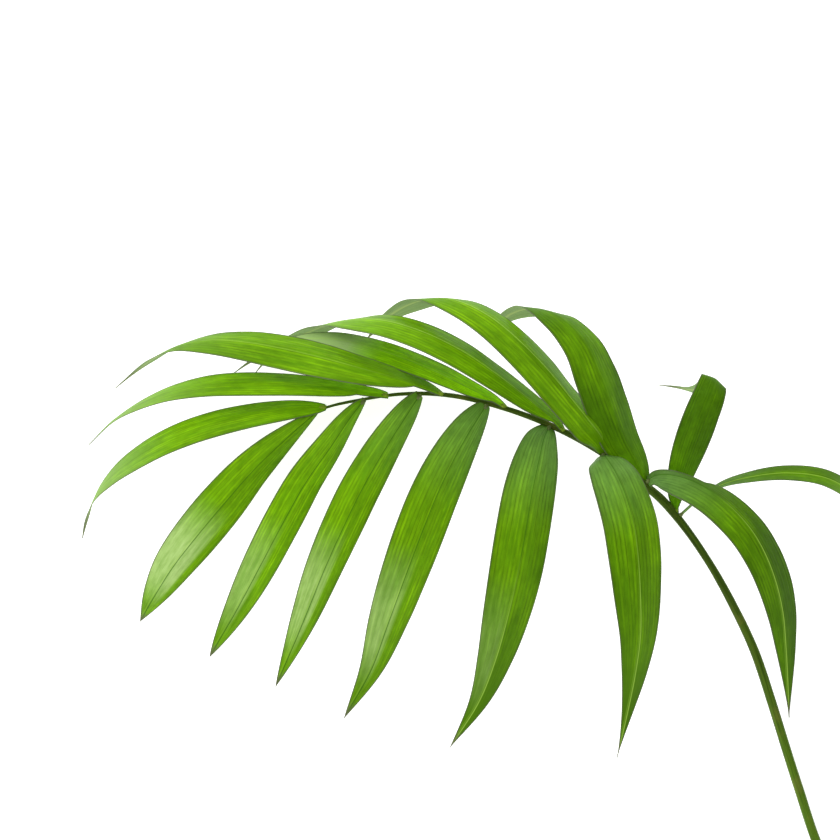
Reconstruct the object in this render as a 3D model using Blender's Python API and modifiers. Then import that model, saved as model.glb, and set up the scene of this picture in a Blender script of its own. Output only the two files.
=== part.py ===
"""Parlour palm frond, cut from its plant and laid down upper side up.

One stalk carries eight pairs of leaflets. Near leaflets reach towards -Y and far
leaflets towards +Y. The frond stands on the flat under its cut end and on the
leaflet tips that reach the table. The origin is the middle of that flat, X runs
along the frond towards its cut end, and Z is up.
"""

import math

import bmesh
import bpy
import numpy as np

MM = 0.001

# Blade of one leaflet, in millimetres and degrees
BLADE_THICKNESS = 0.7
TABLE_CLEARANCE = 0.36
ROOT_SHARE = 0.012
TIP_HALF_WIDTH = 0.5
STATIONS = 18
CELLS_ACROSS = 4
RIDGE_ROUNDNESS = 1.25
FOLD_LEFT_AT_TIP = 0.45

# Stalk and the flat that it rests on, in millimetres
STALK_SIDES = 10
STALK_STATIONS = 54
FLAT_CUTTER_SIZE = 30.0

# Route of the stalk from its cut end to its tip: x, y, height, radius
STALK_ROUTE = [
    (2.4, -6.0, 1.55, 1.80),
    (-2.4, 6.0, 1.60, 1.80),
    (-9.0, 26.0, 2.80, 1.75),
    (-15.5, 46.0, 5.20, 1.70),
    (-22.5, 68.0, 8.60, 1.68),
    (-30.5, 91.0, 12.4, 1.65),
    (-40.3, 111.5, 16.0, 1.60),
    (-52.0, 132.0, 19.5, 1.60),
    (-66.0, 151.5, 22.5, 1.55),
    (-80.0, 165.5, 24.7, 1.45),
    (-97.0, 178.5, 26.8, 1.32),
    (-117.0, 190.0, 28.8, 1.20),
    (-143.0, 200.3, 30.4, 1.02),
    (-170.6, 206.6, 31.4, 0.90),
    (-192.0, 206.8, 31.3, 0.78),
    (-207.0, 204.6, 30.7, 0.70),
    (-222.0, 201.5, 29.8, 0.62),
    (-232.0, 198.0, 29.2, 0.55),
]

# Each leaflet: greatest half width, place of that width along it, fullness of
# its outline, fold of each half below the midrib, and the midrib's route from
# the stalk to the tip. A waypoint is x, y, height, then the compass direction
# of the blade's left half and how far that half points above the level.
LEAFLETS = {
    "near_1": (11.1, 0.49, 0.98, 17.0, [
        (-226.5, 200.2, 29.4, 318, -30),
        (-239.5, 188.8, 36.5, 318, -30),
        (-255.0, 174.0, 43.0, 318, -26),
        (-269.0, 158.0, 45.5, 320, -20),
        (-281.5, 143.2, 42.0, 321, -18),
        (-291.8, 130.3, 34.0, 322, -18),
        (-300.5, 117.5, 20.5, 325, -18),
        (-309.3, 103.4, 0.4, 328, -18),
    ]),
    "near_2": (9.2, 0.44, 0.68, 17.0, [
        (-206.5, 204.6, 30.7, 325, -34),
        (-212.8, 196.5, 36.5, 327, -32),
        (-222.2, 182.5, 42.5, 329, -28),
        (-232.4, 167.8, 45.5, 330, -24),
        (-242.6, 149.8, 43.5, 331, -22),
        (-253.5, 129.5, 36.0, 331, -20),
        (-264.5, 109.5, 21.0, 330, -18),
        (-277.6, 87.4, 0.4, 330, -18),
    ]),
    "near_3": (10.0, 0.37, 0.54, 17.0, [
        (-181.5, 206.9, 31.4, 328, -32),
        (-188.0, 197.0, 38.5, 330, -30),
        (-198.7, 180.0, 44.5, 332, -26),
        (-207.6, 164.3, 47.5, 335, -22),
        (-215.4, 148.5, 46.5, 337, -20),
        (-223.8, 130.0, 40.5, 337, -20),
        (-232.2, 109.5, 28.5, 336, -20),
        (-240.0, 91.0, 13.5, 334, -18),
        (-247.6, 73.8, 0.4, 334, -18),
    ]),
    "near_4": (12.4, 0.37, 0.58, 18.0, [
        (-151.5, 202.6, 30.8, 328, -28),
        (-158.0, 192.8, 39.0, 330, -26),
        (-167.0, 177.0, 46.5, 334, -24),
        (-174.9, 160.3, 50.5, 338, -22),
        (-181.7, 143.0, 49.5, 340, -22),
        (-188.8, 124.0, 43.5, 340, -22),
        (-196.0, 104.0, 32.0, 337, -20),
        (-204.0, 82.0, 16.0, 333, -18),
        (-216.5, 59.3, 0.4, 328, -18),
    ]),
    "near_5": (13.6, 0.33, 0.55, 18.0, [
        (-123.5, 192.6, 29.4, 342, -20),
        (-126.0, 188.0, 37.0, 345, -20),
        (-128.6, 178.0, 46.0, 350, -22),
        (-131.8, 163.5, 52.5, 353, -22),
        (-134.8, 146.0, 54.5, 352, -22),
        (-138.4, 126.5, 50.5, 350, -20),
        (-142.8, 106.5, 41.0, 348, -18),
        (-147.8, 87.5, 28.0, 345, -16),
        (-155.0, 68.0, 13.5, 335, -15),
        (-168.5, 45.7, 0.4, 325, -15),
    ]),
    "near_6": (13.8, 0.30, 0.52, 20.0, [
        (-99.5, 180.0, 27.0, 390, -16),
        (-98.2, 178.0, 36.5, 388, -18),
        (-94.6, 172.0, 46.5, 383, -20),
        (-90.2, 163.5, 53.5, 376, -22),
        (-86.4, 151.0, 57.5, 369, -24),
        (-84.2, 136.0, 56.5, 365, -26),
        (-83.0, 118.0, 50.5, 361, -26),
        (-83.2, 100.0, 40.5, 358, -26),
        (-84.8, 82.0, 27.5, 354, -22),
        (-87.6, 64.0, 13.5, 350, -18),
        (-92.2, 41.0, 0.4, 342, -18),
    ]),
    "near_7": (11.2, 0.31, 0.54, 20.0, [
        (-79.5, 166.0, 24.8, 470, -26),
        (-73.0, 168.0, 33.5, 462, -34),
        (-62.0, 167.6, 42.5, 444, -40),
        (-51.5, 162.3, 49.0, 420, -38),
        (-41.7, 154.8, 52.0, 402, -36),
        (-33.9, 145.6, 52.0, 392, -36),
        (-27.5, 134.4, 48.5, 385, -36),
        (-22.7, 122.3, 42.5, 379, -34),
        (-19.1, 109.0, 33.5, 373, -32),
        (-16.8, 93.0, 21.5, 368, -28),
        (-15.0, 76.0, 9.5, 365, -22),
        (-13.7, 59.7, 0.4, 365, -20),
    ]),
    "near_8": (7.8, 0.36, 0.78, 64.0, [
        (-65.5, 151.5, 22.5, 490, 0),
        (-58.0, 158.5, 26.5, 485, 0),
        (-48.0, 165.6, 31.5, 472, 0),
        (-34.0, 169.8, 35.5, 455, 0),
        (-16.0, 171.6, 36.5, 445, 0),
        (0.0, 170.0, 35.0, 432, 0),
        (14.0, 164.5, 31.0, 420, 0),
        (30.0, 154.0, 22.5, 404, -4),
        (44.0, 138.0, 11.0, 392, -8),
        (52.0, 122.0, 0.6, 385, -8),
    ]),
    "far_1": (7.5, 0.40, 0.58, 18.0, [
        (-224.0, 201.2, 29.6, 274, 25),
        (-240.0, 200.4, 34.5, 276, 34),
        (-258.0, 197.8, 37.5, 281, 38),
        (-276.0, 193.6, 38.0, 287, 38),
        (-294.0, 187.0, 35.0, 295, 40),
        (-309.0, 178.8, 28.5, 302, 46),
        (-321.0, 169.9, 19.5, 310, 58),
        (-329.5, 160.0, 11.0, 325, 80),
        (-333.3, 150.5, 5.5, 340, 105),
        (-335.6, 141.5, 0.6, 348, 115),
    ]),
    "far_2": (7.6, 0.38, 0.58, 20.0, [
        (-196.0, 206.4, 31.1, 262, 25),
        (-206.0, 207.4, 36.0, 262, 36),
        (-222.0, 209.8, 40.0, 265, 44),
        (-241.0, 211.6, 42.0, 269, 46),
        (-260.0, 212.0, 41.0, 272, 46),
        (-278.0, 211.0, 37.0, 279, 50),
        (-294.0, 208.0, 30.0, 288, 60),
        (-308.0, 202.7, 20.5, 298, 70),
        (-320.8, 195.2, 10.0, 310, 86),
        (-332.6, 184.2, 0.6, 315, 100),
    ]),
    "far_3": (10.4, 0.38, 0.78, 18.0, [
        (-171.5, 206.8, 31.4, 247, 26),
        (-180.0, 210.0, 39.5, 250, 36),
        (-191.0, 213.6, 45.5, 254, 40),
        (-206.0, 217.8, 48.5, 257, 40),
        (-225.0, 223.0, 48.5, 259, 38),
        (-243.0, 227.2, 44.5, 263, 40),
        (-260.0, 230.2, 38.5, 269, 46),
        (-276.0, 231.2, 30.5, 276, 58),
        (-291.0, 228.8, 21.0, 286, 74),
        (-304.5, 222.6, 11.5, 298, 92),
        (-320.5, 210.0, 0.6, 310, 106),
    ]),
    "far_4": (7.4, 0.38, 0.74, 18.0, [
        (-143.0, 200.8, 30.4, 235, 22),
        (-149.5, 204.6, 34.5, 240, 34),
        (-160.0, 210.0, 37.5, 242, 42),
        (-173.0, 216.4, 38.0, 245, 45),
        (-190.0, 223.4, 36.0, 250, 45),
        (-207.0, 228.9, 32.5, 256, 46),
        (-223.0, 231.9, 27.5, 266, 48),
        (-237.0, 231.3, 21.0, 282, 52),
        (-248.0, 226.0, 13.0, 303, 58),
        (-257.6, 215.8, 3.5, 315, 62),
    ]),
    "far_5": (11.0, 0.38, 0.82, 18.0, [
        (-117.0, 190.2, 28.8, 215, 26),
        (-122.5, 196.0, 36.5, 220, 40),
        (-132.0, 203.8, 44.0, 230, 48),
        (-146.5, 214.9, 50.5, 235, 52),
        (-163.0, 226.0, 53.0, 239, 52),
        (-180.0, 234.4, 51.0, 245, 54),
        (-196.0, 239.4, 44.0, 256, 60),
        (-210.0, 240.6, 34.0, 269, 74),
        (-221.0, 239.4, 24.0, 284, 94),
        (-233.0, 235.0, 14.5, 293, 120),
        (-247.0, 228.5, 7.5, 298, 125),
        (-259.0, 222.0, 3.5, 300, 125),
        (-268.4, 215.4, 0.6, 304, 125),
    ]),
    "far_6": (12.3, 0.36, 0.64, 24.0, [
        (-97.8, 179.2, 26.8, 191, 20),
        (-100.2, 187.0, 35.5, 205, 36),
        (-106.2, 194.8, 43.5, 216, 46),
        (-114.4, 204.8, 50.5, 221, 50),
        (-125.6, 218.2, 56.5, 221, 50),
        (-137.6, 230.4, 58.5, 225, 50),
        (-149.6, 240.4, 56.5, 232, 52),
        (-160.5, 246.6, 51.5, 243, 60),
        (-170.0, 249.7, 44.0, 256, 76),
        (-179.0, 249.7, 36.0, 270, 102),
        (-188.0, 247.0, 27.5, 284, 122),
        (-197.0, 241.5, 18.5, 302, 130),
        (-203.0, 235.5, 10.0, 318, 130),
        (-206.5, 231.5, 3.5, 322, 130),
    ]),
    "far_7": (12.2, 0.36, 0.62, 24.0, [
        (-80.5, 165.5, 24.7, 190, 12),
        (-83.6, 174.0, 34.5, 197, 20),
        (-89.6, 185.0, 44.5, 202, 26),
        (-95.5, 199.5, 52.5, 203, 30),
        (-101.6, 215.0, 57.0, 205, 33),
        (-108.0, 228.8, 57.0, 213, 39),
        (-117.0, 239.3, 52.0, 228, 52),
        (-126.0, 244.6, 43.5, 250, 80),
        (-135.0, 245.3, 33.5, 276, 112),
        (-143.0, 242.0, 24.5, 303, 128),
        (-148.0, 236.5, 16.0, 322, 130),
        (-150.5, 232.0, 9.0, 325, 130),
    ]),
    "far_8": (8.4, 0.36, 0.70, 20.0, [
        (-66.3, 152.0, 22.6, 175, 4),
        (-66.6, 160.0, 31.0, 172, 6),
        (-64.2, 171.0, 41.0, 166, 8),
        (-60.2, 184.5, 49.0, 163, 10),
        (-56.4, 196.5, 53.0, 162, 10),
        (-52.6, 207.0, 52.0, 158, 8),
        (-50.2, 213.4, 46.0, 150, 6),
        (-50.6, 213.6, 38.0, 149, 4),
        (-53.5, 210.5, 29.0, 149, 0),
        (-58.0, 209.2, 21.0, 149, 0),
        (-65.0, 210.3, 14.0, 149, 20),
        (-73.5, 211.3, 8.5, 130, 40),
    ]),
}

LEAF_COLOR = (0.078, 0.262, 0.006, 1.0)
STALK_COLOR = (0.045, 0.085, 0.012, 1.0)


def clear_scene():
    """Remove every object that the file opened with."""
    for item in list(bpy.data.objects):
        bpy.data.objects.remove(item, do_unlink=True)


def new_collection(name):
    collection = bpy.data.collections.new(name)
    bpy.context.scene.collection.children.link(collection)
    return collection


def new_material(name, color, roughness):
    material = bpy.data.materials.new(name)
    material.use_nodes = True
    shader = material.node_tree.nodes["Principled BSDF"]
    shader.inputs["Base Color"].default_value = color
    shader.inputs["Roughness"].default_value = roughness
    shader.inputs["Metallic"].default_value = 0.0
    return material


def smooth_route(waypoints, count):
    """Values along a smooth curve through the waypoints, evenly spaced by length."""
    points = np.array(waypoints, dtype=float)
    chords = np.linalg.norm(np.diff(points[:, :3], axis=0), axis=1)
    knots = np.concatenate(([0.0], np.cumsum(chords)))
    slopes = np.gradient(points, knots, axis=0)
    place = np.linspace(0.0, knots[-1], 600)
    span = np.clip(np.searchsorted(knots, place, side="right") - 1, 0, len(chords) - 1)
    step = chords[span][:, None]
    u = (place - knots[span])[:, None] / step
    curve = (
        (2 * u**3 - 3 * u**2 + 1) * points[span]
        + (u**3 - 2 * u**2 + u) * step * slopes[span]
        + (3 * u**2 - 2 * u**3) * points[span + 1]
        + (u**3 - u**2) * step * slopes[span + 1]
    )
    lengths = np.linalg.norm(np.diff(curve[:, :3], axis=0), axis=1)
    travelled = np.concatenate(([0.0], np.cumsum(lengths)))
    even = np.linspace(0.0, travelled[-1], count)
    return np.stack([np.interp(even, travelled, column) for column in curve.T], axis=1)


def outline(share, peak, fullness):
    """Half width at a share of the blade's length, as a part of the greatest."""
    place = ROOT_SHARE + (1.0 - ROOT_SHARE) * share
    fall = fullness * (1.0 - peak) / peak
    return (place / peak) ** fullness * ((1.0 - place) / (1.0 - peak)) ** fall


def unit(rows):
    return rows / np.linalg.norm(rows, axis=1)[:, None]


def blade_frame(route):
    """Midrib places, directions of the left half, and upper normals, per station."""
    midrib = route[:, :3]
    along = unit(np.gradient(midrib, axis=0))
    compass = np.radians(route[:, 3])
    rise = np.radians(route[:, 4])
    left = np.stack([
        np.cos(rise) * np.cos(compass),
        np.cos(rise) * np.sin(compass),
        np.sin(rise),
    ], axis=1)
    left = unit(left - along * np.sum(left * along, axis=1)[:, None])
    return midrib, left, np.cross(along, left)


def add_leaflet(name, spec, collection, material):
    """One closed blade, folded along its midrib, from a grid moved by formula."""
    half_width, peak, fullness, fold, waypoints = spec
    midrib, left, upper = blade_frame(smooth_route(waypoints, STATIONS + 1))
    grid = bmesh.new()
    bmesh.ops.create_grid(grid, x_segments=CELLS_ACROSS, y_segments=STATIONS, size=0.5)
    for vertex in grid.verts:
        side = 2.0 * vertex.co.x
        share = vertex.co.y + 0.5
        station = round(share * STATIONS)
        half = max(half_width * outline(share, peak, fullness), TIP_HALF_WIDTH)
        angle = math.radians(fold * (1.0 - (1.0 - FOLD_LEFT_AT_TIP) * share))
        reach = side * half * math.cos(angle)
        drop = abs(side) ** RIDGE_ROUNDNESS * half * math.sin(angle)
        place = midrib[station] + reach * left[station] - drop * upper[station]
        place[2] = max(place[2], TABLE_CLEARANCE)
        vertex.co = place * MM
    bmesh.ops.triangulate(grid, faces=grid.faces)
    bmesh.ops.recalc_face_normals(grid, faces=grid.faces)
    mesh = bpy.data.meshes.new(name)
    grid.to_mesh(mesh)
    grid.free()
    mesh.materials.append(material)
    blade = bpy.data.objects.new(name, mesh)
    collection.objects.link(blade)
    shell = blade.modifiers.new("thickness", "SOLIDIFY")
    shell.thickness = BLADE_THICKNESS * MM
    shell.offset = 0.0
    return blade


def add_stalk(collection, material):
    """The tapered stalk as a closed tube along its route, made a mesh."""
    route = smooth_route(STALK_ROUTE, STALK_STATIONS)
    curve = bpy.data.curves.new("stalk_curve", "CURVE")
    curve.dimensions = "3D"
    curve.bevel_mode = "ROUND"
    curve.bevel_depth = 1.0 * MM
    curve.bevel_resolution = STALK_SIDES // 2 - 2
    curve.use_fill_caps = True
    spline = curve.splines.new("POLY")
    spline.points.add(len(route) - 1)
    for point, (x, y, height, radius) in zip(spline.points, route):
        point.co = (x * MM, y * MM, height * MM, 1.0)
        point.radius = radius
    tube = bpy.data.objects.new("stalk_tube", curve)
    collection.objects.link(tube)
    depsgraph = bpy.context.evaluated_depsgraph_get()
    mesh = bpy.data.meshes.new_from_object(tube.evaluated_get(depsgraph))
    welded = bmesh.new()
    welded.from_mesh(mesh)
    bmesh.ops.remove_doubles(welded, verts=welded.verts, dist=0.00001)
    bmesh.ops.recalc_face_normals(welded, faces=welded.faces)
    welded.to_mesh(mesh)
    welded.free()
    mesh.materials.clear()
    mesh.materials.append(material)
    frond = bpy.data.objects.new("frond", mesh)
    frond.matrix_world = tube.matrix_world
    collection.objects.link(frond)
    bpy.data.objects.remove(tube, do_unlink=True)
    return frond


def add_flat_cutter(collection):
    """Box under the table plane, which leaves the flat that the stalk rests on."""
    mesh = bpy.data.meshes.new("flat_cutter")
    box = bmesh.new()
    bmesh.ops.create_cube(box, size=FLAT_CUTTER_SIZE * MM)
    box.to_mesh(mesh)
    box.free()
    cutter = bpy.data.objects.new("flat_cutter", mesh)
    cutter.location = (0.0, 0.0, -0.5 * FLAT_CUTTER_SIZE * MM)
    cutter.hide_render = True
    cutter.display_type = "WIRE"
    collection.objects.link(cutter)
    return cutter


def apply_modifiers(item):
    """Replace the object's mesh by what its modifiers make of it."""
    depsgraph = bpy.context.evaluated_depsgraph_get()
    mesh = bpy.data.meshes.new_from_object(item.evaluated_get(depsgraph))
    item.modifiers.clear()
    item.data = mesh


def main():
    clear_scene()
    palm = new_collection("parlour_palm_frond")
    blades = new_collection("blades")
    cutters = new_collection("cutters")
    leaf = new_material("palm_leaf", LEAF_COLOR, 0.45)
    stem = new_material("palm_stalk", STALK_COLOR, 0.5)

    frond = add_stalk(palm, stem)
    cut = frond.modifiers.new("rest flat", "BOOLEAN")
    cut.operation = "DIFFERENCE"
    cut.solver = "EXACT"
    cut.object = add_flat_cutter(cutters)

    for name, spec in LEAFLETS.items():
        add_leaflet(name, spec, blades, leaf)
    join = frond.modifiers.new("leaflets", "BOOLEAN")
    join.operation = "UNION"
    join.solver = "EXACT"
    join.operand_type = "COLLECTION"
    join.collection = blades
    apply_modifiers(frond)
    for blade in list(blades.objects):
        bpy.data.objects.remove(blade, do_unlink=True)
    bpy.data.collections.remove(blades)
    frond.data.shade_smooth()
    frond.data.set_sharp_from_angle(angle=math.radians(40.0))


main()
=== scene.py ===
# %% [markdown]
# # A parlour palm frond, cut and laid down
#
# This lesson dresses one frond of a parlour palm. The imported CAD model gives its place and
# size, and the cells below grow a finer frond in the same place: a ribbed stalk, sixteen
# folded leaflets with veins, and the small swellings where they join.
# Everything is in metres, Z is up from the table, and the stalk's cut end is near the origin.

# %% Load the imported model
import math
from functools import partial

import bpy
import numpy as np
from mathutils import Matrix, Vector


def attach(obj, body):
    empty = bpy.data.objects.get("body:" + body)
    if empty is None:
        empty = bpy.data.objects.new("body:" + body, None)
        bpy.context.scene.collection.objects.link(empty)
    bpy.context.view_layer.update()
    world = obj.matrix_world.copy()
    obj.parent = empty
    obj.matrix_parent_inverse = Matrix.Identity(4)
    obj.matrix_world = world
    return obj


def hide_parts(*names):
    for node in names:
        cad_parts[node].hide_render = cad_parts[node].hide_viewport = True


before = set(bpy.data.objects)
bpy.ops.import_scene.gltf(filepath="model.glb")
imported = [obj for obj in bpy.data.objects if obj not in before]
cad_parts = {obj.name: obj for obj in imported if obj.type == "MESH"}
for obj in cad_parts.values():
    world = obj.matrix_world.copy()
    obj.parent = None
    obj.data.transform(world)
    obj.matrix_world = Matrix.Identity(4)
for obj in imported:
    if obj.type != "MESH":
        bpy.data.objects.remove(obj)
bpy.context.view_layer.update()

MM = 0.001

# %% [markdown]
# ## The camera first
#
# The photograph has hardly any perspective: the leaflets near the lens and far from it keep
# one scale. A long lens far away does the same. It looks straight down at the table, because
# the frond lies there with the side that the photograph shows turned up.

# %% Camera
CAMERA_PLACE = (-0.1818, 0.1953, 2.125)
LENS = 200.0
SENSOR = 36.0
PHOTO_PIXELS = 840
MIDDLE_HEIGHT = 0.025


def new_object(name, data):
    made = bpy.data.objects.new(name, data)
    bpy.context.scene.collection.objects.link(made)
    return made


def add_camera():
    lens = bpy.data.cameras.new("photo_camera")
    lens.lens = LENS
    lens.sensor_width = SENSOR
    lens.clip_end = 20.0
    camera = new_object("photo_camera", lens)
    camera.location = CAMERA_PLACE
    bpy.context.scene.camera = camera


add_camera()
view_width = (CAMERA_PLACE[2] - MIDDLE_HEIGHT) * SENSOR / LENS
print("one photo pixel is %.3f mm" % (view_width / MM / PHOTO_PIXELS))

# %% [markdown]
# ## Small helpers
#
# Colours are picked as sRGB hex codes, as a paint program shows them, but a shader adds and
# multiplies light, so it needs linear values. One function turns a code to linear.
# Another adds any node, sets it up and joins its inputs: a list fills them in order, and a
# dictionary by name or number. A node that is given as an input stands for its first output
# that is in use, and a colour is given as its code. The kinds of node that come up most
# have short names.

# %% Colour and node helpers
MATH = "ShaderNodeMath"
VECTOR_MATH = "ShaderNodeVectorMath"
RANGE = "ShaderNodeMapRange"
MIX = "ShaderNodeMix"
NOISE = "ShaderNodeTexNoise"
VECTOR = "ShaderNodeCombineXYZ"
SMOOTH = {"interpolation_type": "SMOOTHSTEP"}


def linear(code):
    """A hex code such as 6AA80F as linear red, green, blue and a full alpha."""
    shares = [int(code[i:i + 2], 16) / 255 for i in (0, 2, 4)]
    return [v / 12.92 if v <= 0.04045 else ((v + 0.055) / 1.055) ** 2.4 for v in shares] + [1.0]


def fill(tree, node, inputs):
    keyed = inputs if isinstance(inputs, dict) else dict(enumerate(inputs))
    for key, value in keyed.items():
        if isinstance(value, bpy.types.Node):
            value = next(output for output in value.outputs if output.enabled)
        socket = node.inputs[key]
        if isinstance(value, bpy.types.NodeSocket):
            tree.links.new(value, socket)
        else:
            socket.default_value = linear(value) if socket.type == "RGBA" else value


def add_node(tree, kind, inputs=(), operation=None, **settings):
    node = tree.nodes.new(kind)
    for name, value in settings.items():
        setattr(node, name, value)
    if operation:
        node.operation = operation
    fill(tree, node, inputs)
    return node


# %% [markdown]
# ## How a leaflet is described
#
# A leaflet is long, narrow and pointed, and it folds along its midrib like a low roof. It
# could be sculpted by hand, but all sixteen follow one rule, so one rule makes them all: a
# midrib that runs through a few chosen points, a half width that swells and falls along it,
# and a fold. Each bracket below is a midrib point: x, y and height in millimetres, then where
# the blade's left half points, as a compass angle and as degrees above the level.
# Before the points stand the greatest half width in millimetres, where along the leaflet it
# comes, the fullness of the outline and the fold of each half in degrees.

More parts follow.
